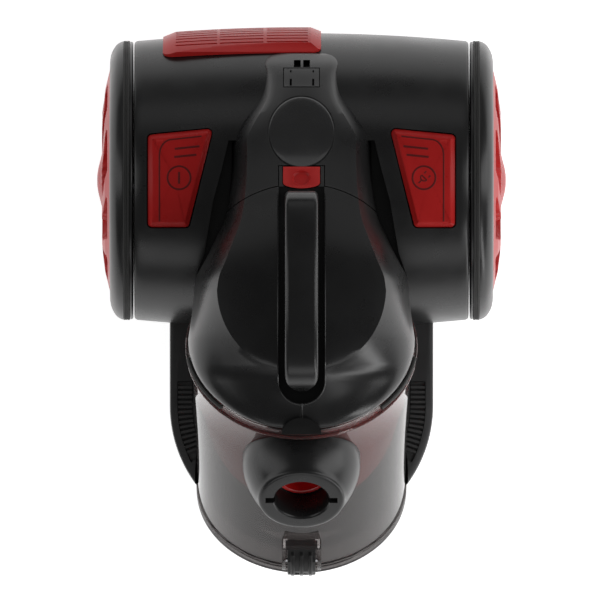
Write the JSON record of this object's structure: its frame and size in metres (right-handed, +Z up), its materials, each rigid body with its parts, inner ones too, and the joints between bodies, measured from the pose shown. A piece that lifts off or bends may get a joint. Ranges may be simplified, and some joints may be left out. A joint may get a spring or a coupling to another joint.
{
  "type": "cylinder vacuum cleaner",
  "caption": "Bagless cyclonic cylinder vacuum cleaner on two large wheels and a caster, with a tilted lift-out dust bin, foot pedals and a carry handle.",
  "frame": {"origin": "on the floor, under the middle of the bounding box", "axes": "+Z up, -Y towards the hose end, +X to the right of someone behind the machine"},
  "size_m": [0.2928, 0.3927, 0.316],
  "materials": {
    "gloss_black": "glossy moulded ABS, near black",
    "satin_black": "fine satin texture, near black",
    "red": "dark red, translucent look, glossy",
    "smoked_clear": "smoke tinted clear polycarbonate, polished",
    "soft_rubber": "soft, matt",
    "steel": "plain turned or pressed steel",
    "filter_foam": "open cell foam",
    "filter_paper": "pleated paper",
    "circuit_board": "green lacquered board"
  },
  "bodies": {
    "body": {"lower_housing": "satin_black", "upper_housing": "gloss_black", "rear_cover": "gloss_black", "cover_disc": "gloss_black", "rear_catch": "satin_black", "exhaust_grille": "red", "exhaust_filter": "filter_paper", "motor_housing": "satin_black", "fan_cover": "steel", "motor_can": "steel", "motor_mount": "soft_rubber", "motor_inlet_grille": "satin_black", "motor_filter": "filter_foam", "control_board": "circuit_board", "power_switch": "satin_black", "reel_axle": "steel", "cord_outlet": "satin_black", "louver_left": "satin_black", "louver_right": "satin_black", "axle_left": "steel", "axle_right": "steel", "housing_screw_1": "steel", "housing_screw_2": "steel", "housing_screw_3": "steel", "housing_screw_4": "steel", "power_pedal_spring": "steel", "rewind_pedal_spring": "steel"},
    "left_wheel": {"wheel_left": "gloss_black", "tread_left": "soft_rubber", "hub_cover_left": "red"},
    "right_wheel": {"wheel_right": "gloss_black", "tread_right": "soft_rubber", "hub_cover_right": "red"},
    "caster": {"caster_fork": "satin_black", "caster_axle": "steel"},
    "caster_roller": {"caster_wheel": "soft_rubber"},
    "power_pedal": {"power_pedal": "red"},
    "rewind_pedal": {"rewind_pedal": "red"},
    "reel_brake": {"reel_brake": "satin_black"},
    "cord_reel": {"cord_reel": "satin_black"},
    "motor_rotor": {"impeller": "steel", "motor_shaft": "steel"},
    "dust_bin": {"bin_cup": "smoked_clear", "inlet_collar": "gloss_black", "inlet_duct": "red", "cyclone_body": "red", "vortex_shroud": "satin_black", "lid_seal": "soft_rubber", "lid_filter": "filter_foam", "bin_lid": "gloss_black", "lid_catch": "satin_black", "carry_handle": "gloss_black", "release_spring": "steel", "flap_hinge_pin": "steel", "latch_pin": "steel"},
    "release_button": {"release_button": "red"},
    "base_flap": {"base_flap": "smoked_clear", "flap_seal": "soft_rubber"},
    "base_latch": {"base_latch": "satin_black"}
  },
  "joints": [
    {"name": "left_wheel_spin", "type": "hinge", "parent": "body", "child": "left_wheel", "pos_m": [-0.128, 0.086, 0.1], "axis": [1, 0, 0], "continuous": true},
    {"name": "right_wheel_spin", "type": "hinge", "parent": "body", "child": "right_wheel", "pos_m": [0.128, 0.086, 0.1], "axis": [1, 0, 0], "continuous": true},
    {"name": "caster_swivel", "type": "hinge", "parent": "body", "child": "caster", "pos_m": [0, -0.138, 0.04], "axis": [0, 0, 1], "continuous": true},
    {"name": "caster_roll", "type": "hinge", "parent": "caster", "child": "caster_roller", "pos_m": [0, -0.129, 0.014], "axis": [1, 0, 0], "continuous": true},
    {"name": "power_pedal_press", "type": "hinge", "parent": "body", "child": "power_pedal", "pos_m": [-0.095, 0.05, 0.192], "axis": [1, 0, 0], "range_deg": [-4.5, 0], "stiffness_Nm_per_rad": 2, "springref_deg": 3.44, "deforming": ["power_pedal_spring"]},
    {"name": "rewind_pedal_press", "type": "hinge", "parent": "body", "child": "rewind_pedal", "pos_m": [0.095, 0.05, 0.192], "axis": [1, 0, 0], "range_deg": [-4.5, 0], "stiffness_Nm_per_rad": 2, "springref_deg": 3.44, "deforming": ["rewind_pedal_spring"]},
    {"name": "reel_brake_lift", "type": "hinge", "parent": "body", "child": "reel_brake", "pos_m": [0.101, 0.095, 0.165], "axis": [1, 0, 0], "range_deg": [-16, 0]},
    {"name": "cord_reel_spin", "type": "hinge", "parent": "body", "child": "cord_reel", "pos_m": [0.08, 0.086, 0.098], "axis": [1, 0, 0], "continuous": true},
    {"name": "motor_spin", "type": "hinge", "parent": "body", "child": "motor_rotor", "pos_m": [-0.005, 0.11, 0.088], "axis": [0, 1, 0], "continuous": true},
    {"name": "bin_lift", "type": "slide", "parent": "body", "child": "dust_bin", "axis": [0, -0.2588, 0.9659], "range_m": [0, 0.18]},
    {"name": "release_press", "type": "slide", "parent": "dust_bin", "child": "release_button", "axis": [0, 0, -1], "range_m": [0, 0.004], "stiffness_N_per_m": 400, "springref_m": -0.002, "deforming": ["release_spring"]},
    {"name": "base_flap_open", "type": "hinge", "parent": "dust_bin", "child": "base_flap", "pos_m": [0, -0.07198, 0.02592], "axis": [1, 0, 0], "range_deg": [0, 51]},
    {"name": "base_latch_release", "type": "hinge", "parent": "dust_bin", "child": "base_latch", "pos_m": [0, -0.18523, 0.13598], "axis": [1, 0, 0], "range_deg": [-9, 0], "stiffness_Nm_per_rad": 0.2, "springref_deg": 5.73}
  ],
  "couplings": [
    {"joint": "reel_brake_lift", "follows": "rewind_pedal_press", "ratio": 3.55},
    {"joint": "base_flap_open", "follows": "bin_lift", "rad_per_m": 4.9}
  ]
}
